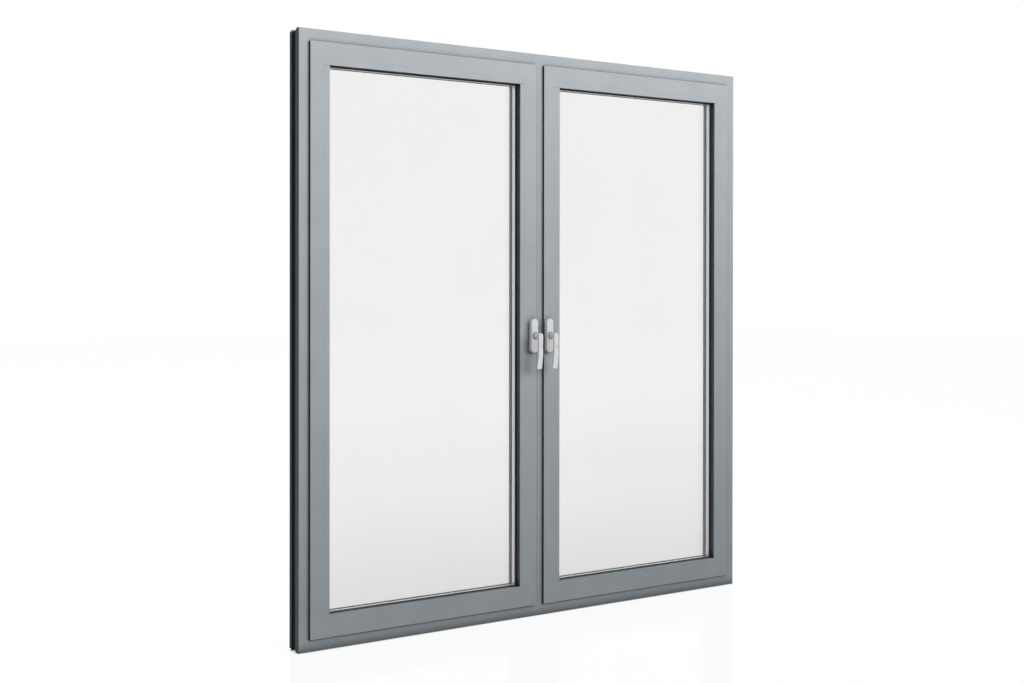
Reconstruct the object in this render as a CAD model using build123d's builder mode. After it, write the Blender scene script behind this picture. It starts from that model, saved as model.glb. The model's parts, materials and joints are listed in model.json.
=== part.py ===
"""Aluminium window with a fixed frame, a mullion and two glazed sashes, each with a lever handle.

X runs to the right as seen from inside the room, Y runs from the room to the outside, Z is up. The origin
is in the middle of the sill's bearing lip. A profile is drawn in its own section: "inset" is measured from
the outer edge of the frame or sash towards its opening, and "depth" from the frame's room face outwards.
"""

import os
from collections import namedtuple
from math import atan2, degrees

from build123d import *

# Overall size
width = 2100.0
height = 2100.0

# Frame and mullion
frame_face = 41.0  # face of the frame left showing beside a sash
mullion_face = 38.4  # face of the mullion left showing between the sashes
sash_lap = 8.0  # how far a sash's flange laps over the frame or mullion
inner_shell_depth = 24.0
break_depth = 26.5  # bridged by the plastic strips
outer_shell_depth = 19.5
outer_lead = 6.0  # the outer shell reaches this much further into the opening than the inner one
lip_depth = 14.0  # bearing lip along the room side of the frame's outer edge
lip_step = 2.0
fin_depth = 3.0  # thin fin where the outer shell starts
fin_inset = 3.0
outer_inset = 7.0
wall = 2.0
edge_round = 0.6
seam_round = 0.3  # where a bead meets its sash
slack = 0.01  # for choosing corners and edges by their place

# Thermal break
strip = 3.0  # thickness of a plastic strip
strip_inset = 8.0  # outer strip of the frame, from the frame's outer edge
strip_setback = 3.0  # inner strips, from the edge of the shell that they hold
outer_strip_setback = 1.0  # outer strip of a sash, from the edge of the shell that it holds

# Sashes
sash_face = 77.5  # width of a sash's face, its glazing bead included
sash_stand = 7.0  # a sash's face stands this much proud of the frame's
flange = 2.0
rebate_gap = 5.0  # between the shells of the frame and those of a sash
sash_outer_depth = 14.0
lip_reach = 6.0  # the sash's outer shell shows this much beyond the bead's edge
lip_bevel = 4.0

# Glazing
bead_width = 20.7
bead_wall = 1.5
bead_end_gap = 0.5  # between an upright bead and the ones it butts against
glass_seat = 16.0  # depth of the inner pane's room face
gasket = 4.0
pane = 4.0
cavity = 16.0
glass_bite = 14.0  # glass edge, behind the bead's edge
gasket_show = 5.5  # inner glazing gasket, beyond the bead's edge
gasket_bevel = 2.5
gasket_tail = 11.5  # part of a glazing gasket that the bead hides
outer_gasket_show = 1.0  # outer glazing gasket, beyond the outer shell's lip
spacer_width = 8.0
spacer_show = 5.0

# Weather gaskets
lap_gasket_inset = 1.0
lap_gasket_width = 5.0
centre_gasket = 4.0
centre_gasket_setback = 2.0  # from the front of the sash's outer shell

# Drainage slots in the outer face of the sill
slot_count = 4
slot_length = 28.0
slot_height = 5.0
slot_edge = 160.0  # first and last slot, from the ends of the sill

# Handles
handle_height = 1048.0
handle_inset = 18.3  # handle axis, from the edge of the sash
base_width = 30.0
base_length = 126.0
base_depth = 17.0
base_bevel = 2.0
dish = 27.0  # diameter of the recess that the neck rises from
dish_depth = 3.5
neck = 18.5  # diameter of the lever's round neck
bore_clearance = 0.05
end_clearance = 0.3
lever_reach = 47.0  # middle of the blade, from the sash's face
lever_thickness = 9.5
lever_tip_thickness = 7.5
head_overhang = 1.25  # the lever's round head, beyond its neck
lever_waist = 19.5
lever_waist_drop = 40.0
lever_tip = 22.0
lever_length = 123.0  # from the axis to the tip
lever_bend_drop = 72.0  # the blade bends back here
lever_bend_radius = 20.0
lever_return = 8.0  # how far its tip lies behind its head
lever_round = 2.0
lever_back_bevel = 0.8
lever_tip_corner = 2.5
scoop_start = 2.0  # the thumb scoop begins this far below the axis
scoop_end = 44.0
scoop_radius = 7.0
scoop_depth = 2.8

# Worked out from the sizes above
face_y = -lip_depth / 2
frame_inner_width = frame_face + sash_lap
frame_outer_width = frame_inner_width + outer_lead
outer_shell_start = inner_shell_depth + break_depth
frame_depth = outer_shell_start + outer_shell_depth
sash_body_start = sash_lap + rebate_gap
sash_body_end = sash_face - bead_width
sash_outer_start = sash_body_start + outer_lead
sash_outer_end = sash_face + lip_reach
sash_strip_start = sash_outer_start + outer_strip_setback
bead_back = glass_seat - gasket
outer_pane_front = glass_seat + pane + cavity
sash_outer_front = outer_pane_front + pane + gasket
sash_break_depth = sash_outer_front - inner_shell_depth
centre_gasket_back = sash_outer_front - centre_gasket_setback
mullion_inner_half = mullion_face / 2 + sash_lap
mullion_outer_half = mullion_inner_half + outer_lead
sash_front_y = face_y - sash_stand
lever_head = neck / 2 + head_overhang

Rim = namedtuple("Rim", "left right bottom top")
frame_rim = Rim(-width / 2, width / 2, 0.0, height)
sash_rims = {
    "left": Rim(-width / 2 + frame_face, -mullion_face / 2, frame_face, height - frame_face),
    "right": Rim(mullion_face / 2, width / 2 - frame_face, frame_face, height - frame_face),
}
handle_places = {
    "left": sash_rims["left"].right - handle_inset,
    "right": sash_rims["right"].left + handle_inset,
}


def save(builder, name):
    """Label a finished piece and write its file."""
    builder.part.label = name
    export_step(builder.part, f"parts/{name}.step")


def inset_rim(rim, amount):
    """The rectangle that lies an equal amount inside another."""
    return Rim(rim.left + amount, rim.right - amount, rim.bottom + amount, rim.top - amount)


def side_plane(rim, side):
    """Section plane at the start of one side: local x is the inset, local y the depth, z runs along the side."""
    return {
        "bottom": Plane((rim.right, face_y, rim.bottom), x_dir=(0, 0, 1), z_dir=(-1, 0, 0)),
        "left": Plane((rim.left, face_y, rim.bottom), x_dir=(1, 0, 0), z_dir=(0, 0, 1)),
        "top": Plane((rim.left, face_y, rim.top), x_dir=(0, 0, -1), z_dir=(1, 0, 0)),
        "right": Plane((rim.right, face_y, rim.top), x_dir=(-1, 0, 0), z_dir=(0, 0, -1)),
    }[side]


def side_length(rim, side):
    """Length of one side of a rectangle."""
    return rim.right - rim.left if side in ("bottom", "top") else rim.top - rim.bottom


def draw_shell(outline, chamber, open_depth, seam=None):
    """Draw a hollow profile: an outline, rounded where it lies open to view, and two corners of its chamber."""
    Polygon(*outline, align=None)
    for inset in [inset for inset, depth in outline if depth == open_depth]:
        corner = vertices().filter_by_position(Axis.X, inset - slack, inset + slack)
        corner = corner.filter_by_position(Axis.Y, open_depth - slack, open_depth + slack)
        fillet(corner, seam_round if inset == seam else edge_round)
    draw_box(chamber, Mode.SUBTRACT)


def draw_box(corners, mode=Mode.ADD):
    """Draw a rectangle between two corners, each an inset and a depth."""
    (near_inset, near_depth), (far_inset, far_depth) = corners
    with Locations(((near_inset + far_inset) / 2, (near_depth + far_depth) / 2)):
        Rectangle(abs(far_inset - near_inset), abs(far_depth - near_depth), mode=mode)


def draw_frame_inner():
    """Room-side shell of the frame, with its bearing lip."""
    draw_shell(
        [
            (0, 0),
            (frame_inner_width, 0),
            (frame_inner_width, inner_shell_depth),
            (lip_step, inner_shell_depth),
            (lip_step, lip_depth),
            (0, lip_depth),
        ],
        ((lip_step + wall, wall), (frame_inner_width - wall, inner_shell_depth - wall)),
        open_depth=0,
    )


def draw_frame_outer():
    """Weather-side shell of the frame, with the fin beside the thermal break."""
    draw_shell(
        [
            (fin_inset, outer_shell_start),
            (frame_outer_width, outer_shell_start),
            (frame_outer_width, frame_depth),
            (outer_inset, frame_depth),
            (outer_inset, outer_shell_start + fin_depth),
            (fin_inset, outer_shell_start + fin_depth),
        ],
        (
            (outer_inset + wall, outer_shell_start + wall),
            (frame_outer_width - wall, frame_depth - wall),
        ),
        open_depth=frame_depth,
    )


def draw_sash_inner():
    """Room-side shell of a sash, with the flange that laps over the frame."""
    draw_shell(
        [
            (0, -sash_stand),
            (sash_body_end, -sash_stand),
            (sash_body_end, inner_shell_depth),
            (sash_body_start, inner_shell_depth),
            (sash_body_start, flange - sash_stand),
            (0, flange - sash_stand),
        ],
        (
            (sash_body_start + wall, wall - sash_stand),
            (sash_body_end - wall, inner_shell_depth - wall),
        ),
        open_depth=-sash_stand,
        seam=sash_body_end,
    )


def draw_sash_outer():
    """Weather-side shell of a sash, which also holds the outer pane."""
    back = sash_outer_front + sash_outer_depth
    draw_shell(
        [
            (sash_outer_start, sash_outer_front),
            (sash_outer_end, sash_outer_front),
            (sash_outer_end, back - lip_bevel),
            (sash_outer_end - lip_bevel, back),
            (sash_outer_start, back),
        ],
        (
            (sash_outer_start + wall, sash_outer_front + wall),
            (sash_outer_end - lip_bevel - wall, back - wall),
        ),
        open_depth=back,
    )


def draw_bead():
    """Hollow glazing bead, level with the sash's face."""
    draw_shell(
        [
            (sash_body_end, -sash_stand),
            (sash_face, -sash_stand),
            (sash_face, bead_back),
            (sash_body_end, bead_back),
        ],
        (
            (sash_body_end + bead_wall, bead_wall - sash_stand),
            (sash_face - bead_wall, bead_back - bead_wall),
        ),
        open_depth=-sash_stand,
        seam=sash_body_end,
    )


def drainage_slots():
    """Outline of the slots that drain the sill's outer chamber."""
    slot_z = outer_inset + wall + slot_height
    spacing = (width - 2 * slot_edge) / (slot_count - 1)
    with BuildSketch(Plane.XZ.offset(-face_y - frame_depth)) as slots:
        with Locations((0, slot_z)):
            with GridLocations(spacing, slot_height, slot_count, 1):
                SlotOverall(slot_length, slot_height)
    return slots.sketch


def mitred_bar(name, rim, side, *sections, slots=None):
    """One side of a rectangular frame, with both ends cut at 45 degrees and any slots cut."""
    start = side_plane(rim, side)
    length = side_length(rim, side)
    with BuildPart() as bar:
        with BuildSketch(start):
            for draw in sections:
                draw()
        extrude(amount=length)
        split(bisect_by=Plane(start.origin, z_dir=start.z_dir - start.x_dir), keep=Keep.TOP)
        end = start.origin + start.z_dir * length
        split(bisect_by=Plane(end, z_dir=start.z_dir + start.x_dir), keep=Keep.BOTTOM)
        if slots:
            extrude(slots, amount=wall, mode=Mode.SUBTRACT)
    save(bar, name)


def butted_bar(name, rim, side, setback, section):
    """One side of a rectangular frame with square ends, each set back from the corner."""
    with BuildPart() as bar:
        with BuildSketch(side_plane(rim, side).offset(setback)):
            section()
        extrude(amount=side_length(rim, side) - 2 * setback)
    save(bar, name)


def ring(rim, near_inset, far_inset, depth):
    """Outline of a rectangular ring, at a depth from which it is extruded towards the room."""
    with BuildSketch(Plane.XZ.offset(-face_y - depth)) as outline:
        for amount, mode in ((near_inset, Mode.ADD), (far_inset, Mode.SUBTRACT)):
            edge = inset_rim(rim, amount)
            with Locations(((edge.left + edge.right) / 2, (edge.bottom + edge.top) / 2)):
                Rectangle(edge.right - edge.left, edge.top - edge.bottom, mode=mode)
    return outline.sketch


def opening_edges(builder, rim, inset, depth):
    """The four edges round the opening of a ring, at one depth."""
    edge = inset_rim(rim, inset - slack)
    y = face_y + depth
    edges_there = builder.edges().filter_by_position(Axis.Y, y - slack, y + slack)
    edges_there = edges_there.filter_by_position(Axis.X, edge.left, edge.right)
    return edges_there.filter_by_position(Axis.Z, edge.bottom, edge.top)


def build_frame():
    """The four sides of the fixed frame."""
    for side, name, slots in (
        ("bottom", "frame_sill", drainage_slots()),
        ("left", "frame_left_jamb", None),
        ("top", "frame_head", None),
        ("right", "frame_right_jamb", None),
    ):
        mitred_bar(name, frame_rim, side, draw_frame_inner, draw_frame_outer, slots=slots)


def build_frame_break():
    """Plastic strips round the frame, an outer and an inner ring."""
    inner_ring = frame_inner_width - strip_setback
    with BuildPart() as strips:
        for far in (strip_inset + strip, inner_ring):
            extrude(ring(frame_rim, far - strip, far, outer_shell_start), amount=break_depth)
    save(strips, "frame_thermal_break")


def build_mullion():
    """Mullion: two hollow shells that butt between the sill and the head, and the strips that join them."""
    with BuildPart() as mullion:
        for half, start_inset, front, back, open_depth in (
            (mullion_inner_half, frame_inner_width, 0, inner_shell_depth, 0),
            (mullion_outer_half, frame_outer_width, outer_shell_start, frame_depth, frame_depth),
        ):
            with BuildSketch(Plane((0, face_y, start_inset), x_dir=(1, 0, 0), z_dir=(0, 0, 1))):
                draw_shell(
                    [(-half, front), (half, front), (half, back), (-half, back)],
                    ((wall - half, front + wall), (half - wall, back - wall)),
                    open_depth,
                )
            extrude(amount=height - 2 * start_inset)
    save(mullion, "mullion")

    ring_edge = frame_inner_width - strip_setback
    strip_edge = mullion_inner_half - strip_setback
    with BuildPart() as strips:
        with BuildSketch(Plane((0, face_y, ring_edge), x_dir=(1, 0, 0), z_dir=(0, 0, 1))):
            for hand in (-1, 1):
                draw_box(
                    (
                        (hand * (strip_edge - strip), inner_shell_depth),
                        (hand * strip_edge, outer_shell_start),
                    )
                )
        extrude(amount=height - 2 * ring_edge)
    save(strips, "mullion_thermal_break")


def build_sash(hand, rim):
    """Rails, stiles, thermal break and glazing beads of one sash."""
    for side, name in {
        "bottom": "bottom_rail",
        "left": "left_stile",
        "top": "top_rail",
        "right": "right_stile",
    }.items():
        mitred_bar(f"{hand}_sash_{name}", rim, side, draw_sash_inner, draw_sash_outer)

    far_strip = sash_body_end - strip_setback
    with BuildPart() as strips:
        for far in (sash_strip_start + strip, far_strip):
            extrude(ring(rim, far - strip, far, sash_outer_front), amount=sash_break_depth)
    save(strips, f"{hand}_sash_thermal_break")

    for side, setback in {
        "bottom": sash_body_end,
        "left": sash_face + bead_end_gap,
        "top": sash_body_end,
        "right": sash_face + bead_end_gap,
    }.items():
        butted_bar(f"{hand}_sash_{side}_bead", rim, side, setback, draw_bead)


def build_glazing(hand, rim):
    """Two panes, the spacer between them and the gaskets that hold them."""
    glass = inset_rim(rim, sash_face - glass_bite)
    for name, front in (("inner_pane", glass_seat), ("outer_pane", outer_pane_front)):
        with BuildPart() as sheet:
            with BuildSketch(Plane.XZ.offset(-face_y - front - pane)):
                with Locations(((glass.left + glass.right) / 2, (glass.bottom + glass.top) / 2)):
                    Rectangle(glass.right - glass.left, glass.top - glass.bottom)
            extrude(amount=pane)
        save(sheet, f"{hand}_sash_{name}")

    with BuildPart() as spacer:
        edge = sash_face + spacer_show
        extrude(ring(rim, edge - spacer_width, edge, outer_pane_front), amount=cavity)
    save(spacer, f"{hand}_sash_spacer")

    tail = sash_face - gasket_tail
    show = sash_face + gasket_show
    with BuildPart() as inner_gasket:
        extrude(ring(rim, tail, show, glass_seat), amount=gasket)
        chamfer(opening_edges(inner_gasket, rim, show, bead_back), gasket_bevel)
    save(inner_gasket, f"{hand}_sash_inner_gasket")

    with BuildPart() as outer_gasket:
        show = sash_outer_end + outer_gasket_show
        extrude(ring(rim, tail, show, sash_outer_front), amount=gasket)
    save(outer_gasket, f"{hand}_sash_outer_gasket")


def build_weather_gaskets(hand, rim):
    """The gasket behind a sash's flange, and the centre gasket in the rebate."""
    with BuildPart() as lap:
        far = lap_gasket_inset + lap_gasket_width
        extrude(ring(rim, lap_gasket_inset, far, 0), amount=sash_stand - flange)
    save(lap, f"{hand}_sash_lap_gasket")

    with BuildPart() as centre:
        near = sash_lap - strip_setback
        extrude(ring(rim, near, sash_strip_start, centre_gasket_back), amount=centre_gasket)
    save(centre, f"{hand}_sash_centre_gasket")


def build_handle_base(hand, axis_x):
    """Base plate of a handle, bevelled, with a round dish and the bore that the lever's neck turns in."""
    back = Plane.XZ.offset(-sash_front_y)
    with BuildPart() as base:
        with BuildSketch(back):
            with Locations((axis_x, handle_height)):
                SlotOverall(base_length, base_width, rotation=90)
        extrude(amount=base_depth)
        chamfer(base.faces().sort_by(Axis.Y)[0].edges(), base_bevel)
        with BuildSketch(back.offset(base_depth - dish_depth)):
            with Locations((axis_x, handle_height)):
                Circle(dish / 2)
        extrude(amount=dish_depth, mode=Mode.SUBTRACT)
        with BuildSketch(back):
            with Locations((axis_x, handle_height)):
                Circle(neck / 2 + bore_clearance)
        extrude(amount=base_depth, mode=Mode.SUBTRACT)
    save(base, f"{hand}_handle_base")


def looks_along(face, way):
    """Whether a face looks mostly towards +Y (way 1) or -Y (way -1)."""
    normal = face.normal_at(face.center())
    return way * normal.Y > abs(normal.X) + abs(normal.Z)


def outer_edges(builder, way):
    """The edges round the faces that look one way along Y, without those between two of the faces."""
    faces = [face for face in builder.faces() if looks_along(face, way)]
    edges = [edge for face in faces for edge in face.edges()]
    return [edge for edge in edges if edges.count(edge) == 1]


def build_lever(hand, axis_x):
    """Lever of a handle: a round neck, and a blade that widens and leans back towards its tip."""
    front_y = sash_front_y - lever_reach - lever_thickness / 2
    back_y = front_y + lever_thickness
    bend_z = handle_height - lever_bend_drop
    top_z = handle_height + lever_head
    tip_z = handle_height - lever_length
    tip_front = front_y + lever_return
    tip_back = tip_front + lever_tip_thickness
    waist_z = handle_height - lever_waist_drop
    with BuildPart() as lever:
        with BuildSketch(Plane.YZ.offset(axis_x)) as side:
            Polygon(
                (front_y, top_z),
                (back_y, top_z),
                (back_y, bend_z),
                (tip_back, tip_z),
                (tip_front, tip_z),
                (front_y, bend_z),
                align=None,
            )
            bends = side.vertices().filter_by_position(Axis.Y, bend_z - slack, bend_z + slack)
            fillet(bends, lever_bend_radius)
        extrude(amount=lever_tip, both=True)
        with BuildSketch(Plane.XZ.offset(-tip_back)) as front:
            with BuildLine():
                head_turn = degrees(2 * atan2(lever_head - lever_waist / 2, lever_waist_drop))
                head = CenterArc((axis_x, handle_height), lever_head, -head_turn, 180 + 2 * head_turn)
                for flank, head_end in ((1, head @ 0), (-1, head @ 1)):
                    waist = (axis_x + flank * lever_waist / 2, waist_z)
                    TangentArc(waist, head_end, tangent=(0, 1))
                    Line(waist, (axis_x + flank * lever_tip / 2, tip_z))
                Line((axis_x - lever_tip / 2, tip_z), (axis_x + lever_tip / 2, tip_z))
            make_face()
            fillet(front.vertices().group_by(Axis.Y)[0], lever_tip_corner)
        extrude(amount=tip_back - front_y, mode=Mode.INTERSECT)
        fillet(outer_edges(lever, -1), lever_round)
        chamfer(outer_edges(lever, 1), lever_back_bevel)

        with BuildSketch(Plane.XZ.offset(-sash_front_y + end_clearance)):
            with Locations((axis_x, handle_height)):
                Circle(neck / 2)
        extrude(amount=lever_reach - end_clearance)

        scoop_middle = (axis_x, front_y - scoop_radius + scoop_depth, handle_height - scoop_end)
        scoop_slope = Vector(0, -scoop_depth, scoop_end - scoop_start)
        with BuildSketch(Plane(scoop_middle, x_dir=(1, 0, 0), z_dir=scoop_slope)):
            Circle(scoop_radius)
        extrude(amount=scoop_end + lever_head, mode=Mode.SUBTRACT)
    save(lever, f"{hand}_lever")


def main():
    os.makedirs("parts", exist_ok=True)
    build_frame()
    build_frame_break()
    build_mullion()
    for hand, rim in sash_rims.items():
        build_sash(hand, rim)
        build_glazing(hand, rim)
        build_weather_gaskets(hand, rim)
    for hand, axis_x in handle_places.items():
        build_handle_base(hand, axis_x)
        build_lever(hand, axis_x)


main()
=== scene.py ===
"""Looks, lights and camera for the aluminium window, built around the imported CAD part.

Metres, in the part's own frame: X to the right as seen from the room, Y towards the outside, Z up.
"""

import json
from math import cos, radians, sin

import bpy
from mathutils import Matrix, Vector

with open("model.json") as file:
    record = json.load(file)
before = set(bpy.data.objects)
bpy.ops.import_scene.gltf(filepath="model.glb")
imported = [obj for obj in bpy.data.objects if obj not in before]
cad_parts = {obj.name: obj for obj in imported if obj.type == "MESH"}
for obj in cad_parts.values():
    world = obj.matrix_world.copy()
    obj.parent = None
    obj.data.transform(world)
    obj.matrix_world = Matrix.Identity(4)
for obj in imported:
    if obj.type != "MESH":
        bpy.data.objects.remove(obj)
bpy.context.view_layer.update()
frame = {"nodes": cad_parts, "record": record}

WHITE = (1, 1, 1, 1)


# Node helpers


def new_material(name):
    """A material with nodes, its tree and its main shader."""
    material = bpy.data.materials.new(name)
    material.use_nodes = True
    tree = material.node_tree
    return material, tree, tree.nodes["Principled BSDF"]


def set_inputs(node, **inputs):
    """Give a node's named inputs their values."""
    for key, value in inputs.items():
        node.inputs[key.replace("_", " ")].default_value = value


def add(tree, kind, **inputs):
    """A new node with its named input values set."""
    node = tree.nodes.new(kind)
    set_inputs(node, **inputs)
    return node


def place_noise(tree, scale, stretch=(1, 1, 1), detail=3.0):
    """Noise in the part's own coordinates, drawn out along an axis by a small factor on it."""
    coordinates = tree.nodes.new("ShaderNodeTexCoord")
    mapping = add(tree, "ShaderNodeMapping", Scale=stretch)
    noise = add(tree, "ShaderNodeTexNoise", Scale=scale, Detail=detail)
    tree.links.new(coordinates.outputs["Object"], mapping.inputs["Vector"])
    tree.links.new(mapping.outputs["Vector"], noise.inputs["Vector"])
    return noise.outputs["Fac"]


def place_pits(tree, scale):
    """Distance to the nearest of many scattered points, in the part's own coordinates."""
    coordinates = tree.nodes.new("ShaderNodeTexCoord")
    pits = add(tree, "ShaderNodeTexVoronoi", Scale=scale)
    tree.links.new(coordinates.outputs["Object"], pits.inputs["Vector"])
    return pits.outputs["Distance"]


def ramp(tree, source, low, high, start=0.35, end=0.65):
    """A blend between two colours, driven by a value."""
    node = tree.nodes.new("ShaderNodeValToRGB")
    first, last = node.color_ramp.elements
    first.position, first.color = start, (*low, 1)
    last.position, last.color = end, (*high, 1)
    tree.links.new(source, node.inputs["Fac"])
    return node.outputs["Color"]


def roughen(tree, shader, source, low, high):
    """A roughness that follows a value, from low to high."""
    node = add(tree, "ShaderNodeMapRange", To_Min=low, To_Max=high)
    tree.links.new(source, node.inputs["Value"])
    tree.links.new(node.outputs["Result"], shader.inputs["Roughness"])


def bump(tree, shader, source, height):
    """Small relief on a surface, in metres."""
    node = add(tree, "ShaderNodeBump", Strength=1.0, Distance=height)
    tree.links.new(source, node.inputs["Height"])
    tree.links.new(node.outputs["Normal"], shader.inputs["Normal"])


def calculate(tree, operation, *values):
    """The result of a sum whose terms are numbers or outputs of other nodes."""
    node = tree.nodes.new("ShaderNodeMath")
    node.operation = operation
    for place, value in enumerate(values):
        if isinstance(value, float):
            node.inputs[place].default_value = value
        else:
            tree.links.new(value, node.inputs[place])
    return node.outputs["Value"]


def openness(tree, reach, samples):
    """1 where a surface lies free, and less where something stands within its reach."""
    node = add(tree, "ShaderNodeAmbientOcclusion", Distance=reach)
    node.samples = samples
    return node.outputs["AO"]


def paint_corner_shade(tree, shader, colour, reach, depth):
    """Give a shader a colour with painted shade: darker in corners and near other parts, within a small
    reach.
    """
    # Painted shade: the colour is multiplied by how open the surface lies.
    strength = calculate(tree, "POWER", openness(tree, reach, samples=12), depth)
    product = tree.nodes.new("ShaderNodeMix")
    product.data_type = "RGBA"
    product.blend_type = "MULTIPLY"
    product.inputs["Factor"].default_value = 1.0
    tree.links.new(colour, product.inputs["A"])
    tree.links.new(strength, product.inputs["B"])
    tree.links.new(product.outputs["Result"], shader.inputs["Base Color"])


def combine(tree, kind, *sources):
    """Shaders mixed by a value that comes first, or added to each other."""
    node = tree.nodes.new(kind)
    for place, source in enumerate(sources):
        tree.links.new(source, node.inputs[place])
    return node.outputs["Shader"]


def show(tree, output_node, surface):
    """Make a shader the surface of its material or world."""
    tree.links.new(surface, tree.nodes[output_node].inputs["Surface"])


def seen_directly(tree):
    """1 for the rays that show a surface: straight from the camera, mirrored or through glass."""
    path = tree.nodes.new("ShaderNodeLightPath")
    either = calculate(tree, "MAXIMUM", path.outputs["Is Camera Ray"], path.outputs["Is Glossy Ray"])
    return calculate(tree, "MAXIMUM", either, path.outputs["Is Transmission Ray"])


def shade(colour, factor):
    """A colour made lighter or darker."""
    return tuple(channel * factor for channel in colour)


# Materials


def coated_aluminium():
    """Grey powder coat: even, with a faint cloudiness, a very fine grain and painted shade in its corners.
    """
    material, tree, shader = new_material("coated_aluminium")
    grey = (0.356, 0.390, 0.415)
    cloud = place_noise(tree, scale=9.0)
    colour = ramp(tree, cloud, low=shade(grey, 0.97), high=shade(grey, 1.03))
    # Painted shade in the corners and beside other parts.
    paint_corner_shade(tree, shader, colour, reach=0.036, depth=1.5)
    set_inputs(shader, Specular_IOR_Level=0.25)
    grain = place_noise(tree, scale=900.0, detail=2.0)
    roughen(tree, shader, grain, low=0.42, high=0.54)
    bump(tree, shader, grain, height=0.00004)
    return material


def polyamide():
    """Black plastic of the thermal break, with faint streaks across its strips."""
    material, tree, shader = new_material("polyamide")
    streaks = place_noise(tree, scale=220.0, stretch=(1, 0.2, 1))
    colour = ramp(tree, streaks, low=(0.006, 0.006, 0.007), high=(0.013, 0.013, 0.014))
    tree.links.new(colour, shader.inputs["Base Color"])
    set_inputs(shader, Specular_IOR_Level=0.2)
    roughen(tree, shader, streaks, low=0.55, high=0.75)
    bump(tree, shader, streaks, height=0.00008)
    return material


def gasket_rubber():
    """Matte black rubber."""
    material, tree, shader = new_material("gasket_rubber")
    bloom = place_noise(tree, scale=60.0)
    colour = ramp(tree, bloom, low=(0.044, 0.048, 0.051), high=(0.058, 0.063, 0.066))
    tree.links.new(colour, shader.inputs["Base Color"])
    roughen(tree, shader, bloom, low=0.62, high=0.8)
    bump(tree, shader, place_noise(tree, scale=1400.0, detail=2.0), height=0.00003)
    return material


def spacer_aluminium():
    """Bright bent spacer, with the fine holes over its drying salt."""
    material, tree, shader = new_material("spacer_aluminium")
    silver = (0.93, 0.93, 0.94)
    pits = place_pits(tree, scale=500.0)
    colour = ramp(tree, pits, low=shade(silver, 0.45), high=silver, start=0.12, end=0.24)
    tree.links.new(colour, shader.inputs["Base Color"])
    set_inputs(shader, Metallic=1.0)
    roughen(tree, shader, place_noise(tree, scale=300.0), low=0.34, high=0.46)
    return material


def handle_aluminium():
    """Satin anodised aluminium, brushed along the lever, with painted shade in its corners."""
    material, tree, shader = new_material("handle_aluminium")
    silver = (0.85, 0.85, 0.855)
    brushing = place_noise(tree, scale=2600.0, stretch=(1, 0.25, 0.05))
    colour = ramp(tree, brushing, low=shade(silver, 0.93), high=shade(silver, 1.05))
    # Painted shade around the neck, the dish and the base.
    paint_corner_shade(tree, shader, colour, reach=0.012, depth=0.4)
    set_inputs(shader, Metallic=1.0)
    roughen(tree, shader, brushing, low=0.78, high=0.88)
    bump(tree, shader, brushing, height=0.00001)
    return material


def glass():
    """Clear float glass with a faint tint, which lets the lamps through."""
    material, tree, shader = new_material("glass")
    haze = place_noise(tree, scale=3.0)
    colour = ramp(tree, haze, low=(0.925, 0.926, 0.925), high=(0.931, 0.932, 0.931))
    tree.links.new(colour, shader.inputs["Base Color"])
    set_inputs(shader, Roughness=0.0, IOR=1.5, Transmission_Weight=1.0)
    in_shadow = tree.nodes.new("ShaderNodeLightPath").outputs["Is Shadow Ray"]
    clear = add(tree, "ShaderNodeBsdfTransparent", Color=(0.86, 0.87, 0.865, 1))
    surface = combine(tree, "ShaderNodeMixShader", in_shadow, shader.outputs["BSDF"], clear.outputs["BSDF"])
    show(tree, "Material Output", surface)
    return material


finishes = {
    "coated_aluminium": coated_aluminium(),
    "polyamide": polyamide(),
    "gasket_rubber": gasket_rubber(),
    "spacer_aluminium": spacer_aluminium(),
    "handle_aluminium": handle_aluminium(),
    "glass": glass(),
}
for entry in frame["record"]["subparts"]:
    node = frame["nodes"][entry["node"]]
    node.data.materials.clear()
    node.data.materials.append(finishes[entry["material_slot"]])


# Floor


def floor_white_with_painted_shadow(tree):
    """The floor's white with painted shadow: darker in contact with the sill and, through the glass, near
    the window.
    """
    open_floor = 0.93
    far_gain = 0.048
    near_window_painted_shade = -0.27
    fade_per_metre = -0.34
    painted_contact_shadow_reach = 0.014
    coordinates = tree.nodes.new("ShaderNodeTexCoord")
    split = tree.nodes.new("ShaderNodeSeparateXYZ")
    tree.links.new(coordinates.outputs["Object"], split.inputs["Vector"])
    outside = calculate(tree, "MAXIMUM", split.outputs["Y"], 0.0)
    nearness = calculate(tree, "EXPONENT", calculate(tree, "MULTIPLY", outside, fade_per_metre))
    # Painted shade on the floor behind the window, seen through the glass.
    change = calculate(tree, "MULTIPLY_ADD", nearness, near_window_painted_shade, far_gain)
    through_glass = tree.nodes.new("ShaderNodeLightPath").outputs["Is Transmission Ray"]
    white = calculate(tree, "ADD", calculate(tree, "MULTIPLY", change, through_glass), open_floor)
    # Painted contact shadow where the floor meets the sill.
    return calculate(tree, "MULTIPLY", white, openness(tree, painted_contact_shadow_reach, samples=4))


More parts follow.
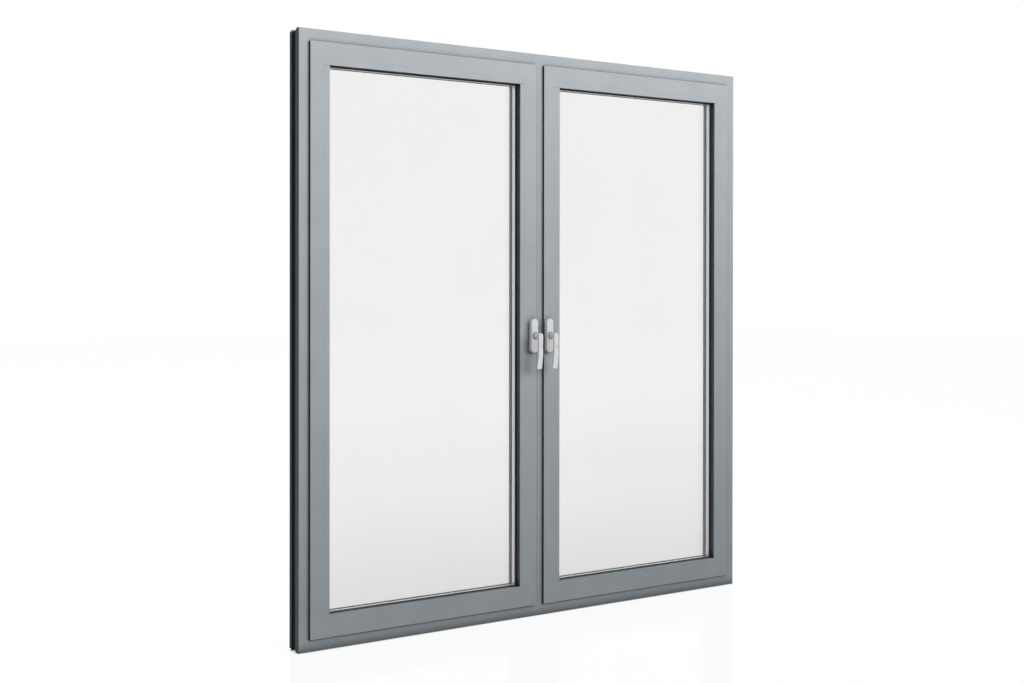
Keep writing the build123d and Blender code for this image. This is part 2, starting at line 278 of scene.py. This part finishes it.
def floor_material():
    """White where it is seen, with a faint reflection and a faint shadow, partly lit and partly painted,
    and dark for the light it gives back.
    """
    material, tree, shader = new_material("studio_floor")
    set_inputs(shader, Base_Color=(0.12, 0.12, 0.12, 1), Specular_IOR_Level=0.0)
    glow = add(tree, "ShaderNodeEmission", Color=WHITE)
    tree.links.new(floor_white_with_painted_shadow(tree), glow.inputs["Strength"])
    sheen = add(tree, "ShaderNodeBsdfAnisotropic", Color=(0.05, 0.05, 0.05, 1), Roughness=0.12)
    matte = add(tree, "ShaderNodeBsdfDiffuse", Color=(0.04, 0.04, 0.04, 1))
    gloss = combine(tree, "ShaderNodeAddShader", sheen.outputs["BSDF"], matte.outputs["BSDF"])
    shown = combine(tree, "ShaderNodeAddShader", glow.outputs["Emission"], gloss)
    surface = combine(tree, "ShaderNodeMixShader", seen_directly(tree), shader.outputs["BSDF"], shown)
    show(tree, "Material Output", surface)
    return material


bpy.ops.mesh.primitive_plane_add(size=60, location=(0, 0, 0))
floor = bpy.context.object
floor.name = "studio_floor"
floor.data.materials.append(floor_material())


# Light


def lobe(tree, sky, centre, sharpness, strength):
    """Light from one side of the studio: strongest from its middle, fading out a quarter turn away."""
    facing = tree.nodes.new("ShaderNodeVectorMath")
    facing.operation = "DOT_PRODUCT"
    tree.links.new(sky, facing.inputs[0])
    facing.inputs[1].default_value = Vector(centre).normalized()
    share = calculate(tree, "MAXIMUM", facing.outputs["Value"], 0.0)
    return calculate(tree, "MULTIPLY", calculate(tree, "POWER", share, sharpness), strength)


def build_world():
    """Soft, slightly cool light from the right and the front, and white wherever it is seen directly."""
    cool = (0.97, 1.045, 1.07, 1)
    fill = 0.065
    world = bpy.data.worlds.new("studio")
    bpy.context.scene.world = world
    world.use_nodes = True
    tree = world.node_tree
    around = tree.nodes["Background"]
    set_inputs(around, Color=cool)
    sky = tree.nodes.new("ShaderNodeTexCoord").outputs["Generated"]
    side = lobe(tree, sky, centre=(1, 0, 0), sharpness=1.0, strength=0.5)
    front = lobe(tree, sky, centre=(0.55, -0.8, 0.25), sharpness=2.0, strength=0.8)
    total = calculate(tree, "ADD", calculate(tree, "ADD", side, front), fill)
    tree.links.new(total, around.inputs["Strength"])
    white = add(tree, "ShaderNodeBackground", Color=WHITE, Strength=1.0)
    lights = (around.outputs["Background"], white.outputs["Background"])
    show(tree, "World Output", combine(tree, "ShaderNodeMixShader", seen_directly(tree), *lights))


def lamp(name, kind, place, target, power):
    """A lamp that faces a point and doesn't show in metal or through glass."""
    data = bpy.data.lights.new(name, kind)
    data.energy = power
    thing = bpy.data.objects.new(name, data)
    bpy.context.scene.collection.objects.link(thing)
    thing.location = place
    thing.rotation_euler = (Vector(target) - Vector(place)).to_track_quat("-Z", "Y").to_euler()
    thing.visible_glossy = False
    thing.visible_transmission = False
    return thing


def build_keys():
    """A wide bank of slightly warm spots, aimed above the window so that their light fades downwards."""
    columns = (4, 8, 12.5, 18, 24)
    rows = (6, 12)
    room_side = -16
    aim = (0, 0, 4.3)
    for column, across in enumerate(columns):
        for row, rise in enumerate(rows):
            key = lamp(f"key_{column}_{row}", "SPOT", (across, room_side, rise), aim, power=2865)
            key.data.color = (1.0, 0.95, 0.93)
            key.data.shadow_soft_size = 1.5
            key.data.spot_size = radians(25.5)
            key.data.spot_blend = 1.0
            key.scale = (6, 1, 1)


def build_back_light():
    """A weak light on the outside."""
    back = lamp("back", "AREA", place=(3.0, 3.5, 3.0), target=(0, 0, 1.0), power=120)
    back.data.size = 2.0


build_world()
build_keys()
build_back_light()


# Camera


def build_camera():
    """The camera as solved from the corners of the frame in the photograph."""
    place = (-4.01897, -4.79042, 1.24083)
    yaw = radians(39.1077)
    pitch = radians(-0.2544)
    roll = radians(0.06)
    forward = Vector((sin(yaw) * cos(pitch), cos(yaw) * cos(pitch), sin(pitch)))
    level = Vector((cos(yaw), -sin(yaw), 0))
    upright = level.cross(forward)
    right = level * cos(roll) + upright * sin(roll)
    up = right.cross(forward)
    lens = bpy.data.cameras.new("camera")
    lens.sensor_width = 36
    lens.lens = 58.64
    lens.shift_x = 0.00014
    lens.shift_y = -0.0490
    camera = bpy.data.objects.new("camera", lens)
    bpy.context.scene.collection.objects.link(camera)
    turn = Matrix((right, up, -forward)).transposed().to_4x4()
    camera.matrix_world = Matrix.Translation(place) @ turn
    bpy.context.scene.camera = camera


build_camera()
bpy.context.scene.view_settings.view_transform = "Standard"
